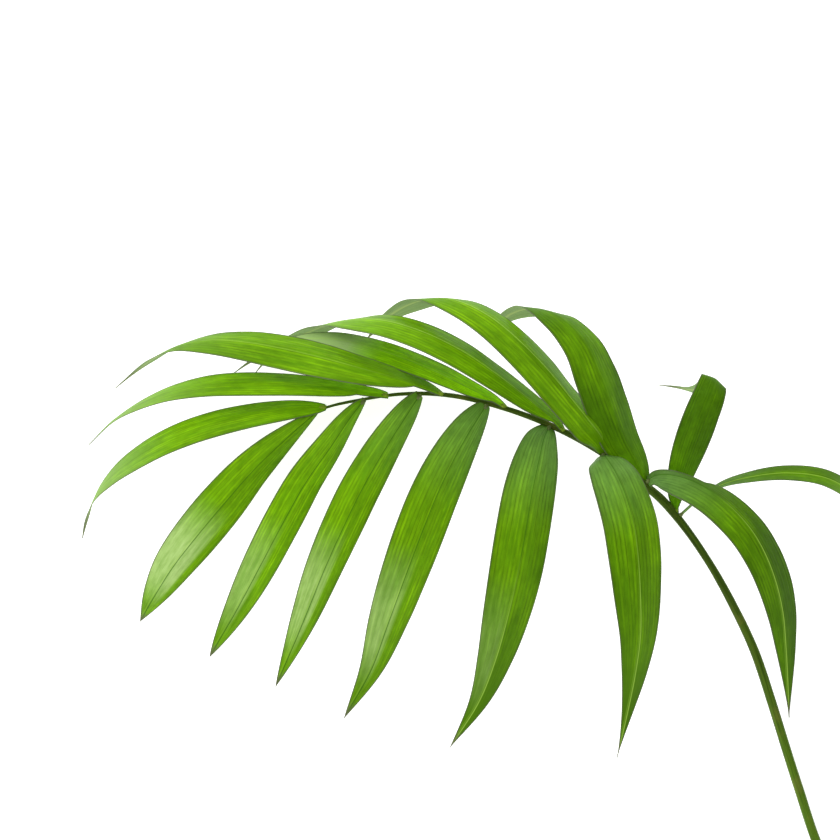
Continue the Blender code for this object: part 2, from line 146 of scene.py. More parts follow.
# %% Leaflet values
LEAFLETS = {
    "near_1": (11.1, 0.49, 0.98, 17.0, [
        (-226.5, 200.2, 29.4, 318, -30), (-239.5, 188.8, 36.5, 318, -30),
        (-255.0, 174.0, 43.0, 318, -26), (-269.0, 158.0, 45.5, 320, -20),
        (-281.5, 143.2, 42.0, 321, -18), (-291.8, 130.3, 34.0, 322, -18),
        (-300.5, 117.5, 20.5, 325, -18), (-309.3, 103.4, 0.4, 328, -18),
    ]),
    "near_2": (9.2, 0.44, 0.68, 17.0, [
        (-206.5, 204.6, 30.7, 325, -34), (-212.8, 196.5, 36.5, 327, -32),
        (-222.2, 182.5, 42.5, 329, -28), (-232.4, 167.8, 45.5, 330, -24),
        (-242.6, 149.8, 43.5, 331, -22), (-253.5, 129.5, 36.0, 331, -20),
        (-264.5, 109.5, 21.0, 330, -18), (-277.6, 87.4, 0.4, 330, -18),
    ]),
    "near_3": (10.0, 0.37, 0.54, 17.0, [
        (-181.5, 206.9, 31.4, 328, -32), (-188.0, 197.0, 38.5, 330, -30),
        (-198.7, 180.0, 44.5, 332, -26), (-207.6, 164.3, 47.5, 335, -22),
        (-215.4, 148.5, 46.5, 337, -20), (-223.8, 130.0, 40.5, 337, -20),
        (-232.2, 109.5, 28.5, 336, -20), (-240.0, 91.0, 13.5, 334, -18),
        (-247.6, 73.8, 0.4, 334, -18),
    ]),
    "near_4": (12.4, 0.37, 0.58, 18.0, [
        (-151.5, 202.6, 30.8, 328, -28), (-158.0, 192.8, 39.0, 330, -26),
        (-167.0, 177.0, 46.5, 334, -24), (-174.9, 160.3, 50.5, 338, -22),
        (-181.7, 143.0, 49.5, 340, -22), (-188.8, 124.0, 43.5, 340, -22),
        (-196.0, 104.0, 32.0, 337, -20), (-204.0, 82.0, 16.0, 333, -18),
        (-216.5, 59.3, 0.4, 328, -18),
    ]),
    "near_5": (13.6, 0.33, 0.55, 18.0, [
        (-123.5, 192.6, 29.4, 342, -20), (-126.0, 188.0, 37.0, 345, -20),
        (-128.6, 178.0, 46.0, 350, -22), (-131.8, 163.5, 52.5, 353, -22),
        (-134.8, 146.0, 54.5, 352, -22), (-138.4, 126.5, 50.5, 350, -20),
        (-142.8, 106.5, 41.0, 348, -18), (-147.8, 87.5, 28.0, 345, -16),
        (-155.0, 68.0, 13.5, 335, -15), (-168.5, 45.7, 0.4, 325, -15),
    ]),
    "near_6": (13.8, 0.30, 0.60, 20.0, [
        (-99.5, 180.0, 27.0, 376, -16), (-98.2, 178.0, 40.0, 375, -14),
        (-94.6, 172.0, 48.5, 374, -17), (-91.0, 163.5, 53.5, 372, -20),
        (-87.4, 151.0, 57.5, 368, -21), (-85.2, 136.0, 56.5, 365, -22),
        (-83.8, 118.0, 50.5, 361, -24), (-83.2, 100.0, 40.5, 358, -26),
        (-84.8, 82.0, 27.5, 354, -22), (-87.6, 64.0, 13.5, 350, -18),
        (-92.2, 41.0, 0.4, 342, -18),
    ]),
    "near_7": (11.2, 0.31, 0.54, 20.0, [
        (-80.0, 167.0, 25.0, 470, -26), (-77.4, 169.9, 30.0, 466, -30),
        (-71.5, 170.9, 36.5, 460, -36), (-62.0, 168.8, 43.0, 444, -40),
        (-51.5, 163.3, 49.0, 420, -38), (-41.7, 154.8, 52.0, 402, -36),
        (-33.9, 145.6, 52.0, 392, -36), (-27.5, 134.4, 48.5, 385, -36),
        (-22.7, 122.3, 42.5, 379, -34), (-19.1, 109.0, 33.5, 373, -32),
        (-16.8, 93.0, 21.5, 368, -28), (-15.0, 76.0, 9.5, 365, -22),
        (-13.7, 59.7, 0.4, 365, -20),
    ]),
    "near_8": (6.2, 0.36, 0.78, 70.0, [
        (-65.5, 151.5, 22.5, 490, 0), (-58.0, 158.5, 26.5, 485, 0),
        (-48.0, 165.6, 31.5, 472, 0), (-34.0, 169.8, 35.5, 455, 0),
        (-16.0, 171.6, 36.5, 445, 0), (0.0, 169.4, 35.0, 432, 0),
        (14.0, 162.0, 31.0, 420, 0), (30.0, 150.0, 22.5, 404, -4),
        (44.0, 138.0, 11.0, 392, -8), (52.0, 122.0, 0.6, 385, -8),
    ]),
    "far_1": (7.5, 0.40, 0.58, 10.0, [
        (-224.0, 201.2, 29.6, 274, 25), (-240.0, 200.4, 34.5, 276, 34),
        (-258.0, 197.8, 37.5, 281, 38), (-276.0, 193.6, 38.0, 287, 38),
        (-294.0, 187.0, 35.0, 295, 40), (-309.0, 178.8, 28.5, 302, 46),
        (-321.0, 169.9, 19.5, 310, 58), (-329.5, 160.0, 11.0, 325, 80),
        (-333.3, 150.5, 5.5, 340, 105), (-335.6, 141.5, 0.6, 348, 115),
    ]),
    "far_2": (7.6, 0.38, 0.58, 9.0, [
        (-196.0, 206.4, 31.1, 262, 25), (-206.0, 207.4, 36.0, 262, 36),
        (-222.0, 209.8, 40.0, 265, 44), (-241.0, 211.6, 42.0, 269, 46),
        (-260.0, 212.0, 41.0, 272, 46), (-278.0, 211.0, 37.0, 279, 50),
        (-294.0, 208.0, 30.0, 288, 60), (-308.0, 202.7, 20.5, 298, 70),
        (-320.8, 195.2, 10.0, 310, 79), (-332.6, 184.2, 0.6, 315, 74),
    ]),
    "far_3": (10.4, 0.38, 0.78, 18.0, [
        (-171.5, 206.8, 31.4, 247, 26), (-180.0, 210.0, 39.5, 250, 36),
        (-191.0, 213.6, 45.5, 254, 40), (-206.0, 217.8, 48.5, 257, 40),
        (-225.0, 223.0, 48.5, 259, 38), (-243.0, 227.2, 44.5, 263, 40),
        (-260.0, 230.2, 38.5, 269, 46), (-276.0, 231.2, 30.5, 276, 58),
        (-291.0, 229.0, 21.0, 286, 80), (-304.5, 222.2, 11.5, 298, 106),
        (-320.5, 210.0, 0.6, 310, 114),
    ]),
    "far_4": (7.4, 0.38, 0.74, 10.0, [
        (-143.0, 200.8, 30.4, 235, 22), (-149.5, 204.6, 34.5, 240, 34),
        (-160.0, 210.0, 37.5, 242, 42), (-173.0, 216.4, 38.0, 245, 45),
        (-190.0, 223.4, 36.0, 250, 45), (-207.0, 228.9, 32.5, 256, 46),
        (-223.0, 231.9, 27.5, 266, 48), (-237.0, 231.3, 21.0, 282, 52),
        (-248.0, 226.0, 13.0, 303, 58), (-257.6, 215.8, 3.5, 315, 62),
    ]),
    "far_5": (11.0, 0.38, 0.82, 18.0, [
        (-117.0, 190.2, 28.8, 215, 26), (-122.5, 196.0, 36.5, 220, 40),
        (-132.0, 203.8, 44.0, 230, 48), (-146.5, 214.9, 50.5, 235, 52),
        (-163.0, 226.0, 53.0, 239, 52), (-180.0, 234.4, 51.0, 245, 54),
        (-196.0, 239.4, 44.0, 256, 60), (-210.0, 240.6, 34.0, 269, 74),
        (-221.0, 239.4, 24.0, 284, 94), (-233.0, 235.0, 14.5, 293, 120),
        (-247.0, 228.5, 7.5, 298, 125), (-259.0, 222.0, 3.5, 300, 125),
        (-268.4, 215.4, 0.6, 304, 125),
    ]),
    "far_6": (12.3, 0.36, 0.64, 24.0, [
        (-97.8, 179.2, 26.8, 191, 20), (-100.2, 187.0, 38.0, 205, 28),
        (-106.2, 194.8, 46.0, 216, 40), (-114.4, 204.8, 50.5, 221, 50),
        (-125.6, 218.2, 56.5, 221, 50), (-137.6, 230.4, 58.5, 225, 50),
        (-149.6, 240.4, 56.5, 232, 52), (-160.5, 246.6, 51.5, 243, 60),
        (-170.0, 249.7, 44.0, 256, 76), (-179.0, 249.7, 36.0, 270, 102),
        (-188.0, 247.0, 27.5, 284, 122), (-197.0, 241.5, 18.5, 302, 130),
        (-203.0, 235.5, 10.0, 318, 130), (-206.5, 231.5, 3.5, 322, 130),
    ]),
    "far_7": (12.2, 0.36, 0.62, 24.0, [
        (-80.5, 165.5, 24.7, 190, 12), (-83.6, 174.0, 27.5, 197, 20),
        (-89.6, 185.0, 33.5, 202, 26), (-95.5, 199.5, 43.0, 203, 30),
        (-101.6, 215.0, 51.5, 205, 33), (-108.0, 228.8, 55.0, 213, 39),
        (-117.0, 239.3, 52.0, 228, 52), (-126.0, 244.6, 43.5, 250, 80),
        (-135.0, 245.3, 33.5, 276, 112), (-143.0, 242.0, 24.5, 303, 128),
        (-148.0, 236.5, 16.0, 322, 130), (-150.5, 232.0, 9.0, 325, 130),
    ]),
    "far_8": (8.4, 0.36, 0.70, 20.0, [
        (-66.3, 152.0, 22.6, 175, 4), (-66.6, 160.0, 24.5, 172, 6),
        (-64.2, 171.0, 29.5, 166, 8), (-60.2, 184.5, 39.0, 163, 10),
        (-56.4, 196.5, 48.0, 162, 10), (-52.6, 207.0, 51.0, 158, 8),
        (-50.2, 213.4, 46.0, 150, 6), (-50.6, 213.6, 38.0, 149, 4),
        (-53.5, 210.5, 29.0, 149, 0), (-58.0, 209.2, 21.0, 149, 0),
        (-65.0, 210.3, 14.0, 149, 20), (-73.5, 211.3, 8.5, 130, 40),
    ]),
}

# Route of the stalk from its cut end to its tip: x, y, height, radius
STALK_ROUTE = [
    (2.4, -6.0, 1.75, 2.05), (-2.4, 6.0, 1.85, 2.05),
    (-9.0, 26.0, 3.00, 2.05), (-15.5, 46.0, 5.20, 2.05),
    (-22.5, 68.0, 8.60, 2.05), (-30.5, 91.0, 12.4, 2.00),
    (-40.3, 111.5, 16.0, 1.85), (-52.0, 132.0, 19.5, 1.65),
    (-66.0, 151.5, 22.5, 1.80), (-73.5, 160.0, 23.7, 1.95),
    (-80.0, 165.5, 24.7, 1.80), (-97.0, 178.5, 26.8, 1.48),
    (-117.0, 190.0, 28.8, 1.38), (-143.0, 200.3, 30.4, 1.18),
    (-170.6, 206.6, 31.4, 1.02), (-192.0, 206.8, 31.3, 0.78),
    (-207.0, 204.6, 30.7, 0.70), (-222.0, 201.5, 29.8, 0.62),
    (-232.0, 198.0, 29.2, 0.55),
]

# %% [markdown]
# ## From a few points to a smooth route
#
# Straight lines between the points would show as corners. A cubic between each two points,
# which leaves every point along the line through its neighbours, bends evenly. The route is
# then cut into equal steps, so that the mesh cells along the leaflet are all as long.
# At every step the blade also needs to know its own left and its own up. These two arrows
# are stored on the points of a loose mesh, where a node tree can read them.

# %% Smooth routes and arrows
FINE_SAMPLES = 1200
BLADE_STEPS = 130


def smooth_route(waypoints, count):
    """Values along a smooth curve through the waypoints, evenly spaced by length."""
    points = np.array(waypoints, dtype=float)
    chords = np.linalg.norm(np.diff(points[:, :3], axis=0), axis=1)
    knots = np.concatenate(([0.0], np.cumsum(chords)))
    slopes = np.gradient(points, knots, axis=0)
    place = np.linspace(0.0, knots[-1], FINE_SAMPLES)
    span = np.clip(np.searchsorted(knots, place, side="right") - 1, 0, len(chords) - 1)
    step = chords[span][:, None]
    u = (place - knots[span])[:, None] / step
    curve = (
        (2 * u**3 - 3 * u**2 + 1) * points[span]
        + (u**3 - 2 * u**2 + u) * step * slopes[span]
        + (3 * u**2 - 2 * u**3) * points[span + 1]
        + (u**3 - u**2) * step * slopes[span + 1]
    )
    lengths = np.linalg.norm(np.diff(curve[:, :3], axis=0), axis=1)
    travelled = np.concatenate(([0.0], np.cumsum(lengths)))
    even = np.linspace(0.0, travelled[-1], count)
    return np.stack([np.interp(even, travelled, column) for column in curve.T], axis=1)


def unit(rows):
    return rows / np.linalg.norm(rows, axis=1)[:, None]


def blade_arrows(route):
    """Directions of the blade's left half and of its upper side at every step."""
    along = unit(np.gradient(route[:, :3], axis=0))
    compass = np.radians(route[:, 3])
    rise = np.radians(route[:, 4])
    level = np.cos(rise)
    left = np.stack([level * np.cos(compass), level * np.sin(compass), np.sin(rise)], axis=1)
    left = unit(left - along * np.sum(left * along, axis=1)[:, None])
    return {"left": left, "upper": np.cross(along, left)}


def route_mesh(name, places, stored, joined=False):
    """Points in metres that carry named arrows and numbers, joined in a line on request."""
    mesh = bpy.data.meshes.new(name)
    edges = [(i, i + 1) for i in range(len(places) - 1)] if joined else []
    mesh.from_pydata((np.array(places) * MM).tolist(), edges, [])
    for label, values in stored.items():
        values = np.array(values, dtype=np.float32)
        kind, field = ("FLOAT_VECTOR", "vector") if values.ndim == 2 else ("FLOAT", "value")
        attribute = mesh.attributes.new(label, kind, "POINT")
        attribute.data.foreach_set(field, values.ravel())
    return mesh


# %% [markdown]
# ## Running a node tree and keeping its mesh
#
# A node tree on a modifier is worked out afresh at each render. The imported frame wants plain
# meshes, so the result is copied out and the modifier goes. Each tree's inputs are named in
# one dictionary with their usual values, which also give each input its kind. They are
# filled in by the socket's identifier, because two inputs may share a name.

# %% Tree helpers
INPUT_KINDS = {bpy.types.Material: "Material", int: "Int", float: "Float"}


def new_tree(name, values):
    """A Geometry Nodes tree, a function that adds nodes to it, and its inputs."""
    tree = bpy.data.node_groups.new(name, "GeometryNodeTree")
    tree.interface.new_socket("Geometry", in_out="INPUT", socket_type="NodeSocketGeometry")
    for label, value in values.items():
        kind = "NodeSocket" + INPUT_KINDS[type(value)]
        tree.interface.new_socket(label, in_out="INPUT", socket_type=kind)
    tree.interface.new_socket("Geometry", in_out="OUTPUT", socket_type="NodeSocketGeometry")
    add = partial(add_node, tree)
    return tree, add, add("NodeGroupInput").outputs


def grow(name, mesh, tree, values):
    """Run the tree on the mesh and return an object that keeps the result as a plain mesh."""
    piece = new_object(name, mesh)
    modifier = piece.modifiers.new("grow", "NODES")
    modifier.node_group = tree
    for item in tree.interface.items_tree:
        if item.in_out == "INPUT" and item.name in values:
            modifier[item.identifier] = values[item.name]
    depsgraph = bpy.context.evaluated_depsgraph_get()
    grown = bpy.data.meshes.new_from_object(
        piece.evaluated_get(depsgraph), preserve_all_data_layers=True, depsgraph=depsgraph)
    piece.modifiers.clear()
    piece.data = grown
    grown.name = name
    return piece


# %% [markdown]
# ## Noise that is drawn out along a blade
#
# Long veins run from end to end of a leaflet and gather at both, with dozens of finer ones
# between them, and the green between veins is uneven in long streaks. Every pattern is
# therefore noise that is stretched along the blade. It reads the blade's own numbers, which
# the leaflet tree stores: side from -1 to 1 across it, and share from 0 at the stalk to 1 at
# the tip. A new material hands back the numbers that it reads.

# %% Materials and their patterns


def new_material(name, labels=()):
    """A material, a function that adds nodes to it, and the stored numbers that it reads."""
    material = bpy.data.materials.new(name)
    material.use_nodes = True
    add = partial(add_node, material.node_tree)
    own = {label: add("ShaderNodeAttribute", attribute_name=label).outputs["Fac"]
           for label in labels}
    return material, add, own


def finish(material, color, roughness, specular=0.5, bumps=None):
    """Join colour and gloss to the shader, and bumps as pattern, strength and depth in mm."""
    tree = material.node_tree
    shader = tree.nodes["Principled BSDF"]
    fill(tree, shader, {
        "Base Color": color, "Roughness": roughness, "Specular IOR Level": specular})
    if bumps:
        pattern, strength, depth_mm = bumps
        bump = {"Height": pattern, "Strength": strength, "Distance": depth_mm * MM}
        fill(tree, shader, {"Normal": add_node(tree, "ShaderNodeBump", bump)})
    return material


def drawn_noise(add, own, across_label, across, along, detail, roughness):
    """Noise with so many turns across the blade and along it."""
    place = add(VECTOR, [
        add(MATH, [own[across_label], across], "MULTIPLY"),
        add(MATH, [own["share"], along], "MULTIPLY"),
        own["seed"]])
    return add(NOISE, {"Vector": place, "Scale": 1.0, "Detail": detail, "Roughness": roughness})


# %% [markdown]
# ## Leaflet upper side: waxy cuticle over living green
#
# A palm leaflet is green cell layers under a thin wax film, so it is neither shiny nor dull:
# light spreads over it as a soft sheen. The first function mixes the green itself. Its tone
# is a product of small changes: mottling, fine and main veins, painted shade at the margins,
# and light or shade painted on each half and near the stalk.

# %% Green between the veins
# What the noise runs over across the blade, how often it is drawn together there and along
# the blade, its detail and its roughness
LEAF_NOISES = {
    "streaks": ("side", 6.0, 6.0, 3.0, 0.6),
    "regions": ("side", 1.0, 4.0, 1.0, 0.5),
    "clouds": ("across_mm", 0.5, 26.0, 3.0, 0.62),
    "fibres": ("side", 34.0, 4.0, 2.0, 0.7),
}
MAIN_VEINS = 7.0
# Where a line begins and is full, the light in the streaks between which it comes up, and
# how much it adds to the tone: thin dark veins, and thin pale ones between them
VEIN_LINES = [
    (0.18, 0.03, 0.38, 0.60, -0.36),
    (0.34, 0.48, 0.46, 0.66, 0.30),
]


def leaf_green(add, own):
    """The green before its tone, the tone as a grey to multiply by, and its cloudy part."""
    side = own["side"]

    # Long streaks of lighter and deeper green, some 2 mm wide on a broad leaflet, and broad
    # regions: some leaflets, and stretches of one, are a deeper green. The deeper green of a whole
    # leaflet is partly its own and partly painted shade on leaflets that lie in shade
    streak_mask = add(RANGE, [own["streaks"], 0.34, 0.68])
    deep_and_shade_mask = add(RANGE, [own["regions"], 0.35, 0.65, -0.25, 0.25])
    deep_and_shade_mask = add(MATH, [deep_and_shade_mask, own["depth"]], "ADD", use_clamp=True)
    green = add(MIX, {0: streak_mask, 6: "5C9005", 7: "78AC08"}, data_type="RGBA")
    green = add(MIX, {0: deep_and_shade_mask, 6: green, 7: "467103"}, data_type="RGBA")

    # Mottling in short clouds about 2 mm across and 5 mm long, and fine veins, which are about
    # 0.35 mm apart on the real blade and are drawn as wide as a pixel
    cloud_tone = add(RANGE, [own["clouds"], 0.3, 0.7, 0.84, 1.16])
    fibre_tone = add(RANGE, [own["fibres"], 0.3, 0.7, 0.90, 1.09])

    # Main veins fade in and out, seven on each half
    vein = add(MATH, [own["clouds"], 0.35], "MULTIPLY")
    vein = add(MATH, [side, MAIN_VEINS, vein], "MULTIPLY_ADD")
    for operation, value in (("FRACT", 0.0), ("SUBTRACT", 0.5), ("ABSOLUTE", 0.0)):
        vein = add(MATH, [vein, value], operation)
    vein_tone = 1.0
    for line_start, line_full, light_from, light_to, change in VEIN_LINES:
        line = add(RANGE, [vein, line_start, line_full], **SMOOTH)
        force = add(RANGE, [own["streaks"], light_from, light_to, 0.0, change])
        vein_tone = add(MATH, [line, force, vein_tone], "MULTIPLY_ADD")

    # Painted shade darkens the blade a little where it turns down at its margins, and painted
    # root light below 0 makes it lighter near the stalk
    away = add(MATH, [side], "ABSOLUTE")
    painted_margin_shade = add(RANGE, [away, 0.72, 1.0, 1.0, 0.80], **SMOOTH)
    root_light_tone = add(RANGE, [own["root_mask"], -1.0, 0.0, 2.0, 1.0])
    tone = cloud_tone
    for part in (fibre_tone, painted_margin_shade, own["half_tone"], vein_tone, root_light_tone):
        tone = add(MATH, [tone, part], "MULTIPLY")
    tone = add("ShaderNodeCombineColor", [tone, tone, tone])
    return green, tone, cloud_tone


# %% [markdown]
# ## What lies over the green
#
# Other finishes lie over the green one by one, like coats of thin paint, each with a mask that
# says where it shows. Painted root light above 0 is a painted grey sheen on the part near the
# stalk. The painted tip light makes the outer part paler with a painted sheen above 0 and
# deeper with painted shade below it.

# %% Coats over the green
RIB_HALF_WIDTH_MM = 0.34
BEND_HIGHLIGHT_OFFSET_MM = 0.70
RIB_CHANGE_REACH = 0.12
SHEEN_EDGE = 0.14


def leaf_coats(add, own, cloud_tone):
    """Masks and colours in the order in which they lie over the green."""
    share = own["share"]
    coats = []

    # The outer part: a paler, greyer painted sheen on some leaflets, deeper painted shade on others
    tip_zone = add(RANGE, [share, 0.45, 0.88], **SMOOTH)
    for sign, code in ((1.0, "90AE68"), (-1.0, "426A05")):
        signed = add(MATH, [own["tip_tone"], sign], "MULTIPLY")
        mask = add(MATH, [tip_zone, signed], "MULTIPLY", use_clamp=True)
        coats.append((mask, code))

    # A whitish painted sheen on the outer half of some leaflets: the more there is, the further it
    # reaches
    reach = add(MATH, [own["bloom"], 0.9, -0.2], "MULTIPLY_ADD")
    reach_to = add(MATH, [reach, SHEEN_EDGE])
    reach_from = add(MATH, [reach, -SHEEN_EDGE])
    sheen_side = add(RANGE, [own["side"], reach_to, reach_from], **SMOOTH)
    sheen_fall = add(RANGE, [share, 0.92, 0.72], **SMOOTH)
    sheen_tone = add(RANGE, [own["streaks"], 0.3, 0.7, 0.55, 1.2])
    bloom = add(RANGE, [share, 0.42, 0.64], **SMOOTH)
    for part in (sheen_fall, sheen_side, own["bloom"], sheen_tone, cloud_tone):
        bloom = add(MATH, [bloom, part], "MULTIPLY", use_clamp=True)
    coats.append((bloom, "AAC87A"))

    # Midrib: painted shade in the groove near the stalk, which becomes a painted highlight on the
    # ridge further out
    rib_mm = add(MATH, [own["across_mm"]], "ABSOLUTE")
    rib = add(RANGE, [rib_mm, RIB_HALF_WIDTH_MM, 0.3 * RIB_HALF_WIDTH_MM, 0.0, 0.8], **SMOOTH)
    rib = add(MATH, [rib, own["rib_show"]], "MULTIPLY")
    rib_from = add(MATH, [own["rib_change"], RIB_CHANGE_REACH], "SUBTRACT")
    rib_to = add(MATH, [own["rib_change"], RIB_CHANGE_REACH], "ADD")
    groove_shade_to_ridge_highlight = add(RANGE, [share, rib_from, rib_to])
    coats.append((rib, add(MIX, {0: groove_shade_to_ridge_highlight, 6: "37630A", 7: "98C048"},
                           data_type="RGBA")))

    # On the outer half a painted highlight runs beside the groove, where the blade bends up from it
    painted_bend_highlight = add(MATH, [own["across_mm"], BEND_HIGHLIGHT_OFFSET_MM])
    painted_bend_highlight = add(MATH, [painted_bend_highlight], "ABSOLUTE")
    painted_bend_highlight = add(RANGE, [painted_bend_highlight, 0.4, 0.05, 0.0, 0.28], **SMOOTH)
    for part in (add(RANGE, [share, 0.40, 0.60]), own["rib_show"]):
        painted_bend_highlight = add(MATH, [painted_bend_highlight, part], "MULTIPLY")
    coats.append((painted_bend_highlight, "8FBC3C"))

    # Thin dull margins and a dry tip
    edge_mm = add(MATH, [own["half_mm"], rib_mm], "SUBTRACT")
    coats.append((add(RANGE, [edge_mm, 0.62, 0.22, 0.0, 0.90], **SMOOTH), "565C44"))
    coats.append((add(RANGE, [share, 0.93, 0.985, 0.0, 0.8], **SMOOTH), "5C6042"))
    return coats


# %% [markdown]
# ## The cuticle as a whole
#
# The coats go on in a loop. Then the wax film gets its gloss: light streaks are a little
# smoother than deep ones, and the fine veins stand out by a few hundredths of a millimetre.

# %% Leaflet upper side
CUTICLE_ROUGHNESS = 0.44
CUTICLE_SPECULAR = 0.04


def make_upper():
    material, add, own = new_material("palm_leaf_upper_cuticle", (
        "side", "share", "half_mm", "seed", "depth", "bloom", "rib_change", "rib_show",
        "root_grey", "tip_tone", "half_tone"))
    own["across_mm"] = add(MATH, [own["side"], own["half_mm"]], "MULTIPLY")
    for label, values in LEAF_NOISES.items():
        own[label] = drawn_noise(add, own, *values)
    # Near the stalk: a painted grey sheen above 0, painted light below 0
    near_stalk = add(RANGE, [own["share"], 0.34, 0.03], **SMOOTH)
    own["root_mask"] = add(MATH, [near_stalk, own["root_grey"]], "MULTIPLY")

    green, tone, cloud_tone = leaf_green(add, own)
    green, root_sheen_green = (
        add(MIX, {0: 1.0, 6: color, 7: tone}, data_type="RGBA", blend_type="MULTIPLY")
        for color in (green, "668F45"))
    for mask, color in [(own["root_mask"], root_sheen_green)] + leaf_coats(add, own, cloud_tone):
        green = add(MIX, {0: mask, 6: green, 7: color}, data_type="RGBA")

    gloss = [own["streaks"], 0.3, 0.7, CUTICLE_ROUGHNESS + 0.05, CUTICLE_ROUGHNESS - 0.04]
    return finish(material, green, add(RANGE, gloss), CUTICLE_SPECULAR,
                  bumps=(own["fibres"], 0.3, 0.05))


upper_cuticle = make_upper()
print("made", upper_cuticle.name, "with", len(upper_cuticle.node_tree.nodes), "nodes")

# %% [markdown]
# ## Leaflet underside and margin
#
# The underside has no gloss. It is a paler grey-green, made lighter still by a painted
# highlight, with a light midrib that stands proud.
# The margin is a thin hard thread, a little darker than the blade.

# %% Underside and margin


def make_underside():
    material, add, own = new_material("palm_leaf_underside_matte",
                                      ("side", "share", "half_mm", "seed"))
    fibres = drawn_noise(add, own, "side", 26.0, 4.0, 3.0, 0.65)
    mask = add(RANGE, [fibres, 0.3, 0.7])
    # Its own paler grey-green, lightened further as a painted highlight
    green = add(MIX, {0: mask, 6: "6C8C46", 7: "98B476"}, data_type="RGBA")
    away = add(MATH, [own["side"]], "ABSOLUTE")
    rib_mm = add(MATH, [away, own["half_mm"]], "MULTIPLY")
    for spread, code in (
            ([rib_mm, 0.8, 0.35, 0.0, 0.8], "A9BE72"),
            ([own["share"], 0.86, 0.96, 0.0, 0.75], "5C6042")):
        mask = add(RANGE, spread, **SMOOTH)
        green = add(MIX, {0: mask, 6: green, 7: code}, data_type="RGBA")
    return finish(material, green, 0.6, specular=0.15, bumps=(fibres, 0.4, 0.08))


def make_margin():
    material, add, own = new_material("palm_leaf_margin_thread", ["share"])
    tip_mask = add(RANGE, [own["share"], 0.95, 0.99], **SMOOTH)
    green = add(MIX, {0: tip_mask, 6: "4E5A38", 7: "5C6042"}, data_type="RGBA")
    return finish(material, green, 0.5)


underside_matte = make_underside()
margin_thread = make_margin()
print("made", underside_matte.name, "and", margin_thread.name)

# %% [markdown]
# ## The outline of a leaflet
#
# One way to get a blade with thickness is a sheet and a Solidify modifier. Here a flat closed
# slab of cells is bent instead, because a slab already has its two faces and its margin, and
# each can get its own finish. The tree reads the slab's flat place as side, share and level.
# This first function turns the share into half a width: it swells to the peak and falls to
# the tip, each by its own power, and never gets less than a neck's or a tail's width.

# %% Half width
POINT_FROM = 0.95
POINT_LEAST = 0.25


def blade_half_width(add, given, side, share):
    """Half the width in metres, and the swell that runs from 0 over 1 to 0."""
    # Each half begins at its own share, because one runs further down the stalk than the other
    is_left = add(MATH, [side, 0.0], "GREATER_THAN")
    gap = add(MATH, [given["Left Start"], given["Right Start"]], "SUBTRACT")
    start = add(MATH, [is_left, gap, given["Right Start"]], "MULTIPLY_ADD")
    begun = add(RANGE, [share, start, 1.0])
    kept = add(MATH, [1.0, given["Root Share"]], "SUBTRACT")
    place = add(MATH, [begun, kept, given["Root Share"]], "MULTIPLY_ADD")

    rest = add(MATH, [1.0, place], "SUBTRACT")
    beyond = add(MATH, [1.0, given["Peak"]], "SUBTRACT")
    rise = add(MATH, [place, given["Peak"]], "DIVIDE")
    rise = add(MATH, [rise, given["Fullness"]], "POWER")
    fall = add(MATH, [rest, beyond], "DIVIDE")
    fall = add(MATH, [fall, 0.0], "MAXIMUM")
    ratio = add(MATH, [beyond, given["Peak"]], "DIVIDE")
    fall_power = add(MATH, [given["Fullness"], ratio], "MULTIPLY")
    fall = add(MATH, [fall, fall_power], "POWER")
    swell = add(MATH, [rise, fall], "MULTIPLY")
    wide = add(MATH, [given["Half Width"], swell], "MULTIPLY")
    least = add(RANGE, [share, 0.0, 0.3, given["Neck Half Width"], given["Tip Half Width"]])
    point = add(RANGE, [share, POINT_FROM, 1.0, 1.0, POINT_LEAST])
    least = add(MATH, [least, point], "MULTIPLY")
    return add(MATH, [wide, least], "MAXIMUM"), swell


# %% [markdown]
# ## Fold, veins, midrib and waves
#
# The second function works out how far each point of the slab lies out from the midrib and
# how far up. The halves slope down by the fold, less so towards the tip. Low corrugations
# stand for the main veins, and they gather at both ends with the width. The midrib is a
# groove in the upper face and a rib under the lower one, and noise makes the margin wavy.

# %% Reach and lift
WAVES_ALONG = 5.0
WAVES_ACROSS = 0.7
RIB_TAPER = 0.6
MARGIN_THINNING = -0.6


